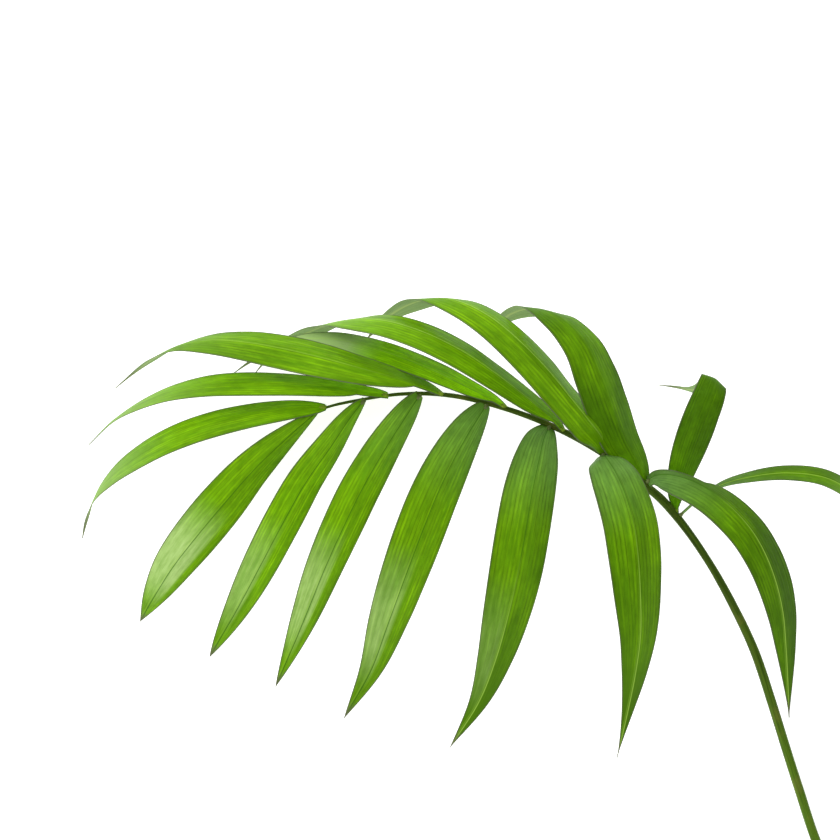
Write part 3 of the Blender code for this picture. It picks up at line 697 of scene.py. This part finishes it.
def blade_lift(add, given, side, share, level, half, swell):
    """Reach outwards, lift upwards and thickness, all in metres."""
    away = add(MATH, [side], "ABSOLUTE")
    across = add(MATH, [side, half], "MULTIPLY")

    # Fold
    flattening = add(MATH, [1.0, given["Fold Left At Tip"]], "SUBTRACT")
    eased = add(MATH, [flattening, share], "MULTIPLY")
    folded = add(MATH, [1.0, eased], "SUBTRACT")
    angle = add(MATH, [given["Fold"], folded], "MULTIPLY")
    reach = add(MATH, [across, add(MATH, [angle], "COSINE")], "MULTIPLY")
    drop = add(MATH, [away, given["Ridge Roundness"]], "POWER")
    for part in (half, add(MATH, [angle], "SINE")):
        drop = add(MATH, [drop, part], "MULTIPLY")

    # Main veins
    vein = add(MATH, [away, given["Veins"]], "MULTIPLY")
    vein = add(MATH, [vein, 2.0 * math.pi], "MULTIPLY")
    vein = add(MATH, [vein], "COSINE")
    for part in (given["Vein Depth"], swell):
        vein = add(MATH, [vein, part], "MULTIPLY")

    # Midrib: a bell curve of the distance from it, which gets lower towards the tip
    near_rib = add(MATH, [across, given["Rib Width"]], "DIVIDE")
    near_rib = add(MATH, [near_rib, 2.0], "POWER")
    near_rib = add(MATH, [near_rib, -1.0], "MULTIPLY")
    near_rib = add(MATH, [near_rib], "EXPONENT")
    tapered = add(MATH, [1.0, share], "SUBTRACT")
    tapered = add(MATH, [tapered, RIB_TAPER], "POWER")
    near_rib = add(MATH, [near_rib, tapered], "MULTIPLY")
    groove = add(MATH, [near_rib, given["Groove Depth"]], "MULTIPLY")
    rib = add(MATH, [near_rib, given["Rib Depth"]], "MULTIPLY")

    # Wavy margin
    wave_place = add(VECTOR, [
        add(MATH, [share, WAVES_ALONG], "MULTIPLY"),
        add(MATH, [side, WAVES_ACROSS], "MULTIPLY"),
        given["seed"]])
    wave = add(NOISE, {"Vector": wave_place, "Scale": 1.0, "Detail": 1.0})
    wave = add(MATH, [wave, 0.5], "SUBTRACT")
    outward = add(MATH, [away, 2.0], "POWER")
    for part in (outward, given["Wave"], swell):
        wave = add(MATH, [wave, part], "MULTIPLY")

    # The lower face lies under the upper one, and the blade thins out to the margin
    thinning = add(MATH, [outward, MARGIN_THINNING, 1.0], "MULTIPLY_ADD")
    thick = add(MATH, [thinning, given["Thickness"]], "MULTIPLY")
    under = add(MATH, [thick, rib])
    under = add(MATH, [under, groove], "SUBTRACT")
    lower = add(MATH, [1.0, level], "SUBTRACT")
    below = add(MATH, [lower, under], "MULTIPLY")
    lift = add(MATH, [vein, wave])
    for part in (drop, groove, below):
        lift = add(MATH, [lift, part], "SUBTRACT")
    return reach, lift, thick


# %% [markdown]
# ## The leaflet tree
#
# The tree looks up the midrib point and the two arrows for each share, and moves each point
# of the slab out along the blade's left and up along its upper side. It stores what the
# finishes read, and sets the finishes by level: upper face, lower face, margin in between.

# %% Leaflet tree
# The tree's inputs with their usual values
BLADE = {
    "Upper": upper_cuticle,
    "Underside": underside_matte,
    "Margin": margin_thread,
    "Cells Across": 56,
    "Steps": BLADE_STEPS,
    "Half Width": 10.0 * MM,
    "Peak": 0.38,
    "Fullness": 0.6,
    "Fold": math.radians(18.0),
    "Fold Left At Tip": 0.45,
    "Ridge Roundness": 1.25,
    "Root Share": 0.012,
    "Left Start": 0.0,
    "Right Start": 0.0,
    "Neck Half Width": 0.5 * MM,
    "Tip Half Width": 0.4 * MM,
    "Thickness": 0.35 * MM,
    "Veins": 5.0,
    "Vein Depth": 0.03 * MM,
    "Groove Depth": 0.12 * MM,
    "Rib Depth": 0.45 * MM,
    "Rib Width": 0.45 * MM,
    "Wave": 1.0 * MM,
    "Clearance": 0.05 * MM,
    "Left Painted Light": 1.0,
    "Right Painted Light": 1.0,
}
# Inputs that are stored on the blade under their own names, for the upper side to read
STORED_INPUTS = ("seed", "depth", "bloom", "rib_change", "root_grey", "tip_tone", "rib_show")
BLADE |= dict.fromkeys(STORED_INPUTS, 0.0)
HALVES_BLEND = 0.08


def make_blade_tree():
    tree, add, given = new_tree("leaflet blade", BLADE)
    vertices_across = add(MATH, [given["Cells Across"], 1.0])
    shape = add("GeometryNodeMeshCube", [(1.0, 1.0, 1.0), vertices_across, given["Steps"], 2])
    flat = add("ShaderNodeSeparateXYZ", [add("GeometryNodeInputPosition")]).outputs
    side = add(MATH, [flat[0], 2.0], "MULTIPLY")
    share = add(MATH, [flat[1], 0.5])
    level = add(MATH, [flat[2], 0.5])
    half, swell = blade_half_width(add, given, side, share)
    reach, lift, thick = blade_lift(add, given, side, share, level, half, swell)

    # Look up the midrib point and the two arrows, and go out and up along them
    last = add(MATH, [given["Steps"], 1.0], "SUBTRACT")
    step = add(MATH, [share, last], "MULTIPLY")
    step = add("FunctionNodeFloatToInt", [step], rounding_mode="ROUND")
    left, upper = (add("GeometryNodeInputNamedAttribute", [label], data_type="FLOAT_VECTOR")
                   for label in ("left", "upper"))
    midrib, left, upper = (
        add("GeometryNodeSampleIndex", {"Geometry": given["Geometry"], "Value": field, "Index": step},
            data_type="FLOAT_VECTOR", domain="POINT")
        for field in (add("GeometryNodeInputPosition"), left, upper))
    bent = midrib
    for arrow, length in ((left, reach), (upper, lift)):
        arm = add(VECTOR_MATH, {0: arrow, "Scale": length}, "SCALE")
        bent = add(VECTOR_MATH, [bent, arm], "ADD")

    # Nothing sinks into the table
    axes = add("ShaderNodeSeparateXYZ", [bent]).outputs
    table = add(MATH, [level, thick, given["Clearance"]], "MULTIPLY_ADD")
    height = add(MATH, [axes[2], table], "MAXIMUM")
    bent = add(VECTOR, [axes[0], axes[1], height])

    # Store what the finishes read, then bend the slab
    # Light or shade painted on the left and the right half, blended across the midrib
    painted_half_light_range = [side, -HALVES_BLEND, HALVES_BLEND, given["Right Painted Light"], given["Left Painted Light"]]
    stored = {
        "side": side,
        "share": share,
        "level": level,
        "half_mm": add(MATH, [half, 1.0 / MM], "MULTIPLY"),
        "half_tone": add(RANGE, painted_half_light_range),
    }
    stored |= {label: given[label] for label in STORED_INPUTS}
    for label, value in stored.items():
        shape = add("GeometryNodeStoreNamedAttribute",
                    {"Geometry": shape, "Name": label, "Value": value},
                    data_type="FLOAT", domain="POINT")
    shape = add("GeometryNodeSetPosition", {"Geometry": shape, "Position": bent})
    shape = add("GeometryNodeSetShadeSmooth", [shape])
    shape = add("GeometryNodeRealizeInstances", [shape])

    # A face's level is the mean of its corners': 1 above, 0 below and half at the margin
    field = add("GeometryNodeInputNamedAttribute", ["level"], data_type="FLOAT")
    is_upper, is_lower = (
        add("FunctionNodeCompare", [field, limit], data_type="FLOAT", operation=operation)
        for limit, operation in ((0.75, "GREATER_THAN"), (0.25, "LESS_THAN")))
    for chosen, label in ((True, "Margin"), (is_upper, "Upper"), (is_lower, "Underside")):
        shape = add("GeometryNodeSetMaterial", [shape, chosen, given[label]])
    add("NodeGroupOutput", [shape])
    return tree


blade_tree = make_blade_tree()
print("the leaflet tree has", len(blade_tree.nodes), "nodes")

# %% [markdown]
# ## Sixteen leaflets
#
# The tree runs once for each leaflet. The looks row says how deep its green is, partly as
# painted shade, how much painted sheen shows on its outer half, where its midrib turns from
# painted shade in the groove to a painted highlight on the ridge, how much painted grey sheen
# (above 0) or painted light (below 0) lies at the stalk, whether its tip has a paler painted
# sheen (above 0) or a deeper painted shade (below 0) than its middle, how much light or shade
# is painted on its left and its right half, and how clearly the midrib shows. A few leaflets
# have values of their own: a half that begins further out, because a leaflet grips the stalk
# with one half and leaves it with the other, or a broader neck or tail.

# %% Grow the leaflets
LOOK_INPUTS = ("depth", "bloom", "rib_change", "root_grey", "tip_tone",
               "Left Painted Light", "Right Painted Light", "rib_show")
LOOKS = {
    "near_1": (0.10, 0.85, 1.30, 0.05, -0.10, 1.00, 1.00, 1.0),
    "near_2": (0.05, 0.44, 1.30, 0.12, -0.35, 1.20, 1.06, 1.0),
    "near_3": (0.10, 0.62, 1.20, 0.40, -0.10, 1.05, 0.97, 1.0),
    "near_4": (0.18, 0.47, 1.10, 0.60, -0.35, 1.04, 0.96, 1.0),
    "near_5": (0.45, 0.18, 0.50, 0.70, -0.80, 1.00, 0.90, 0.9),
    "near_6": (0.45, 0.00, 0.36, 0.85, -0.95, 0.96, 0.94, 0.9),
    "near_7": (0.70, 0.00, 0.34, 0.90, -0.30, 0.70, 0.88, 1.0),
    "near_8": (0.65, 0.00, -0.20, 1.00, 1.50, 0.80, 1.02, 1.0),
    "far_1": (0.10, 0.00, 1.30, -0.25, 0.58, 1.02, 1.08, 0.25),
    "far_2": (0.08, 0.00, 1.30, -0.50, 0.45, 1.04, 1.15, 0.25),
    "far_3": (0.20, 0.00, 0.20, -0.15, 0.15, 0.96, 0.95, 0.5),
    "far_4": (0.05, 0.00, 0.10, -0.35, 4.50, 1.42, 1.50, 0.5),
    "far_5": (0.10, 0.00, 0.10, 0.00, 0.35, 1.10, 1.00, 0.9),
    "far_6": (0.25, 0.00, 0.10, 0.00, -0.05, 0.94, 0.97, 0.9),
    "far_7": (0.75, 0.00, 1.20, 0.00, -0.20, 0.98, 1.02, 0.3),
    "far_8": (0.95, 0.00, 1.20, -0.90, -0.20, 0.86, 0.86, 0.3),
}
OWN_VALUES = {
    "near_7": {"Left Start": 0.20, "Right Start": 0.02, "Tip Half Width": 0.6 * MM},
    "near_8": {"Left Start": 0.10, "Right Start": 0.10, "Neck Half Width": 2.0 * MM},
    "far_1": {"Tip Half Width": 0.75 * MM},
    "far_2": {"Left Start": 0.10, "Tip Half Width": 0.95 * MM},
    "far_3": {"Left Start": 0.10, "Tip Half Width": 0.8 * MM},
    "far_4": {"Left Start": 0.06},
    "far_5": {"Left Start": 0.05},
    "far_8": {"Left Start": 0.03, "Right Start": 0.03},
}
SEED_STEP = 3.7


def grow_leaflet(number, name):
    half_width, peak, fullness, fold, waypoints = LEAFLETS[name]
    values = BLADE | dict(zip(LOOK_INPUTS, LOOKS[name])) | OWN_VALUES.get(name, {})
    values |= {
        "Half Width": half_width * MM,
        "Peak": peak,
        "Fullness": fullness,
        "Fold": math.radians(fold),
        "seed": SEED_STEP * number,
    }
    route = smooth_route(waypoints, BLADE_STEPS)
    mesh = route_mesh(name + "_route", route[:, :3], blade_arrows(route))
    leaflet = grow("leaflet_" + name, mesh, blade_tree, values)
    leaflet.data.set_sharp_from_angle(angle=math.radians(60.0))
    return leaflet


leaflets = [grow_leaflet(number, name) for number, name in enumerate(LEAFLETS)]
print("leaflets:", len(leaflets), "triangles each:",
      sum(len(face.vertices) - 2 for face in leaflets[0].data.polygons))

# %% [markdown]
# ## The stalk
#
# The stalk is the petiole below and the rachis between the leaflets. It is a tapering rod
# with faint ribs along its length. Its half dull skin is a lighter green on the petiole than
# on the rachis, with brownish spots. Its cut end shows dry pale pith with darker bundles of
# vessels, about 0.4 mm apart.

# %% Stalk skin and cut face
SPOTS_PER_METRE = 90.0
BUNDLES_PER_METRE = 2600.0


def make_stalk_skin():
    material, add, own = new_material("palm_stalk_skin", ("share", "around"))
    lines_place = add(VECTOR, [
        add(MATH, [own["around"], 22.0], "MULTIPLY"),
        add(MATH, [own["share"], 14.0], "MULTIPLY")])
    lines = add(NOISE, {"Vector": lines_place, "Scale": 1.0, "Detail": 3.0, "Roughness": 0.6})
    mask = add(RANGE, [lines, 0.3, 0.7])
    rachis, petiole = (
        add(MIX, {0: mask, 6: deep, 7: light}, data_type="RGBA")
        for deep, light in (("26390A", "4A6016"), ("34500A", "5C7C1C")))
    low_down = add(RANGE, [own["share"], 0.38, 0.05], **SMOOTH)
    green = add(MIX, {0: low_down, 6: rachis, 7: petiole}, data_type="RGBA")
    place = add("ShaderNodeTexCoord").outputs["Object"]
    spots = add(NOISE, {
        "Vector": place, "Scale": SPOTS_PER_METRE, "Detail": 3.0, "Roughness": 0.6})
    spots = add(RANGE, [spots, 0.56, 0.70, 0.0, 0.35])
    green = add(MIX, {0: spots, 6: green, 7: "6A6A2C"}, data_type="RGBA")
    return finish(material, green, 0.5, specular=0.06, bumps=(lines, 0.5, 0.12))


def make_cut_face():
    material, add = new_material("palm_stalk_cut_pith")[:2]
    place = add("ShaderNodeTexCoord").outputs["Object"]
    bundles = add("ShaderNodeTexVoronoi", {"Vector": place, "Scale": BUNDLES_PER_METRE})
    mask = add(RANGE, [bundles, 0.22, 0.42])
    pith = add(MIX, {0: mask, 6: "6E7B38", 7: "C9CE96"}, data_type="RGBA")
    return finish(material, pith, 0.7)


# %% [markdown]
# ## The stalk tree
#
# The stalk's route carries a radius at each step. The tree turns the route to a curve, sweeps
# a ribbed section along it and closes both ends. A living stalk isn't turned on a lathe, so
# noise then pushes its skin in and out a little. What is under the table's plane is pressed
# flat against it.

# %% Stalk tree
STALK_STEPS = 360
STALK_BUMPS_PER_METRE = 120.0
STALK = {
    "Skin": make_stalk_skin(),
    "Cut": make_cut_face(),
    "Section Points": 32,
    "Ribs": 8.0,
    "Rib Height": 0.035,
    "Unevenness": 0.10 * MM,
}


def unevenness(add, bumps_per_metre, height):
    """A push along the surface's own direction, in and out by half of the height."""
    where = add("GeometryNodeInputPosition")
    push = add(NOISE, {"Vector": where, "Scale": bumps_per_metre, "Detail": 2.0})
    push = add(MATH, [push, 0.5], "SUBTRACT")
    push = add(MATH, [push, height], "MULTIPLY")
    outwards = add("GeometryNodeInputNormal")
    return add(VECTOR_MATH, {0: outwards, "Scale": push}, "SCALE")


def make_stalk_tree():
    tree, add, given = new_tree("ribbed stalk", STALK)
    curve = add("GeometryNodeMeshToCurve", [given["Geometry"]])
    section = add("GeometryNodeCurvePrimitiveCircle",
                  {"Resolution": given["Section Points"], "Radius": 1.0})
    travelled = add("GeometryNodeSplineParameter")
    curve, section = (
        add("GeometryNodeStoreNamedAttribute", {"Geometry": line, "Name": label, "Value": travelled},
            data_type="FLOAT", domain="POINT")
        for line, label in ((curve, "share"), (section, "around")))

    # The section is a circle of radius 1 with shallow ribs round it
    turn = add(MATH, [travelled, given["Ribs"]], "MULTIPLY")
    turn = add(MATH, [turn, 2.0 * math.pi], "MULTIPLY")
    rib = add(MATH, [turn], "COSINE")
    rib = add(MATH, [rib, given["Rib Height"], 1.0], "MULTIPLY_ADD")
    ribbed = add(VECTOR_MATH, {0: add("GeometryNodeInputPosition"), "Scale": rib}, "SCALE")
    section = add("GeometryNodeSetPosition", {"Geometry": section, "Position": ribbed})
    radius = add("GeometryNodeInputNamedAttribute", ["radius"], data_type="FLOAT")
    rod = add("GeometryNodeCurveToMesh", [curve, section, radius, True])
    push = unevenness(add, STALK_BUMPS_PER_METRE, given["Unevenness"])
    rod = add("GeometryNodeSetPosition", {"Geometry": rod, "Offset": push})

    axes = add("ShaderNodeSeparateXYZ", [add("GeometryNodeInputPosition")]).outputs
    height = add(MATH, [axes[2], 0.0], "MAXIMUM")
    pressed = add(VECTOR, [axes[0], axes[1], height])
    rod = add("GeometryNodeSetPosition", {"Geometry": rod, "Position": pressed})
    rod = add("GeometryNodeSetShadeSmooth", [rod])
    rod = add("GeometryNodeRealizeInstances", [rod])

    # The caps are the only faces with more than four corners
    corners = add("GeometryNodeInputMeshFaceNeighbors")
    is_cap = add("FunctionNodeCompare", {2: corners, 3: 4}, data_type="INT",
                 operation="GREATER_THAN")
    for chosen, label in ((True, "Skin"), (is_cap, "Cut")):
        rod = add("GeometryNodeSetMaterial", [rod, chosen, given[label]])
    add("NodeGroupOutput", [rod])
    return tree


stalk_route = smooth_route(STALK_ROUTE, STALK_STEPS)
stalk_mesh = route_mesh("stalk_route", stalk_route[:, :3], {"radius": stalk_route[:, 3] * MM},
                        joined=True)
stalk = grow("stalk", stalk_mesh, make_stalk_tree(), STALK)
stalk.data.set_sharp_from_angle(angle=math.radians(50.0))
print("stalk box", [round(v, 4) for v in stalk.bound_box[0]], len(stalk.data.polygons), "faces")

# %% [markdown]
# ## Swellings where leaflets join
#
# Each leaflet grows from a small swollen base on the stalk. One ball is placed at each join,
# drawn out along the leaflet, and pushed in and out a little so that no two are the same.
# Those of the far leaflets are a fresher green than the grey ones of the near leaflets.

# %% Leaflet bases
BASE_OFFSET_MM = 1.3
BASE_BUMPS_PER_METRE = 500.0
BASE_MOTTLE_PER_METRE = 900.0


def make_base_skin():
    material, add, own = new_material("palm_leaf_base_swelling", ["young"])
    place = add("ShaderNodeTexCoord").outputs["Object"]
    mottle = add(NOISE, {
        "Vector": place, "Scale": BASE_MOTTLE_PER_METRE, "Detail": 3.0, "Roughness": 0.6})
    mask = add(RANGE, [mottle, 0.35, 0.65])
    grey, fresh = (
        add(MIX, {0: mask, 6: deep, 7: light}, data_type="RGBA")
        for deep, light in (("4C5A2A", "6F7A4A"), ("5E7A14", "86A02A")))
    color = add(MIX, {0: own["young"], 6: grey, 7: fresh}, data_type="RGBA")
    return finish(material, color, 0.6, specular=0.1, bumps=(mottle, 0.4, 0.1))


BASES = {
    "Skin": make_base_skin(),
    "Smoothness": 4,
    "Half Length": 2.1 * MM,
    "Half Width": 0.95 * MM,
    "Unevenness": 0.35 * MM,
}


def make_base_tree():
    tree, add, given = new_tree("leaflet bases", BASES)
    ball = add("GeometryNodeMeshIcoSphere", {"Radius": 1.0, "Subdivisions": given["Smoothness"]})
    axis = add("GeometryNodeInputNamedAttribute", ["axis"], data_type="FLOAT_VECTOR")
    turn = add("FunctionNodeAlignRotationToVector", {"Vector": axis}, axis="Z")
    size = add(VECTOR, [given["Half Width"], given["Half Width"], given["Half Length"]])
    shape = add("GeometryNodeInstanceOnPoints", {
        "Points": given["Geometry"], "Instance": ball, "Rotation": turn, "Scale": size})
    shape = add("GeometryNodeRealizeInstances", [shape])
    push = unevenness(add, BASE_BUMPS_PER_METRE, given["Unevenness"])
    shape = add("GeometryNodeSetPosition", {"Geometry": shape, "Offset": push})
    shape = add("GeometryNodeSetShadeSmooth", [shape])
    shape = add("GeometryNodeSetMaterial", [shape, True, given["Skin"]])
    add("NodeGroupOutput", [shape])
    return tree


def grow_bases():
    places = []
    axes = []
    for values in LEAFLETS.values():
        first, second = (np.array(row[:3]) for row in values[-1][:2])
        axis = (second - first) / np.linalg.norm(second - first)
        places.append(first + axis * BASE_OFFSET_MM)
        axes.append(axis)
    # 1 for the bases of far leaflets, which get the fresher green, 0 for the grey near ones
    young = [float(name.startswith("far")) for name in LEAFLETS]
    mesh = route_mesh("base_places", places, {"axis": axes, "young": young})
    return grow("leaflet_bases", mesh, make_base_tree(), BASES)


leaflet_bases = grow_bases()
print("leaflet bases:", len(leaflet_bases.data.polygons), "triangles")

# %% [markdown]
# ## Floor, sky and lamps
#
# A studio shot on white wants a floor that is lit to white all over and lamps at the sides.
# Nothing bright hangs straight above, because a glossy leaf that faces the lens would mirror
# it as a grey veil over its green. The sky is therefore darker overhead than at the horizon.

# %% Floor and light
FLOOR_SIZE = 8.0
FLOOR_DEPTH = 0.00005
FLOOR_GLOW = 0.56
FROND_MIDDLE = (-0.13, 0.12, 0.03)


def add_floor():
    mesh = bpy.data.meshes.new("table_top")
    reach = FLOOR_SIZE / 2
    corners = [(-reach, -reach), (reach, -reach), (reach, reach), (-reach, reach)]
    mesh.from_pydata([(x, y, -FLOOR_DEPTH) for x, y in corners], [], [(0, 1, 2, 3)])
    paper = finish(new_material("white_paper")[0], "FAFAFA", 0.9, specular=0.1)
    tree = paper.node_tree
    glow = {"Emission Color": "FFFFFF", "Emission Strength": FLOOR_GLOW}
    fill(tree, tree.nodes["Principled BSDF"], glow)
    mesh.materials.append(paper)
    return new_object("table_top", mesh)


def add_sky():
    world = bpy.data.worlds.new("studio_sky")
    bpy.context.scene.world = world
    world.use_nodes = True
    tree = world.node_tree
    direction = add_node(tree, "ShaderNodeTexCoord").outputs["Generated"]
    axes = add_node(tree, "ShaderNodeSeparateXYZ", [direction]).outputs
    bright = add_node(tree, RANGE, [axes[2], 0.35, 0.95, 0.85, 0.45], **SMOOTH)
    fill(tree, tree.nodes["Background"], {"Color": "FFFFFF", "Strength": bright})


def add_softbox(name, azimuth, elevation, distance, size, watts):
    """A square lamp in the given direction from the frond, turned to face it."""
    a = math.radians(azimuth)
    e = math.radians(elevation)
    light = bpy.data.lights.new(name, "AREA")
    light.shape = "SQUARE"
    light.size = size
    light.energy = watts
    lamp = new_object(name, light)
    outward = np.array([math.cos(e) * math.cos(a), math.cos(e) * math.sin(a), math.sin(e)])
    lamp.location = np.array(FROND_MIDDLE) + outward * distance
    lamp.rotation_mode = "QUATERNION"
    lamp.rotation_quaternion = Vector(outward).to_track_quat("Z", "Y")


floor = add_floor()
add_sky()
add_softbox("key_softbox", 115.0, 55.0, 1.8, 1.8, 20.0)
add_softbox("low_left_softbox", -150.0, 40.0, 1.5, 0.8, 7.0)
bpy.context.scene.view_settings.view_transform = "Standard"
bpy.context.scene.view_settings.look = "None"

# %% [markdown]
# ## Hand over to the frame
#
# Every piece rides on the one body and stands for the imported frond, which the last line
# hides.

# %% Hand over
for piece in leaflets + [stalk, leaflet_bases]:
    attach(piece, "root")
    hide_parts("frond")
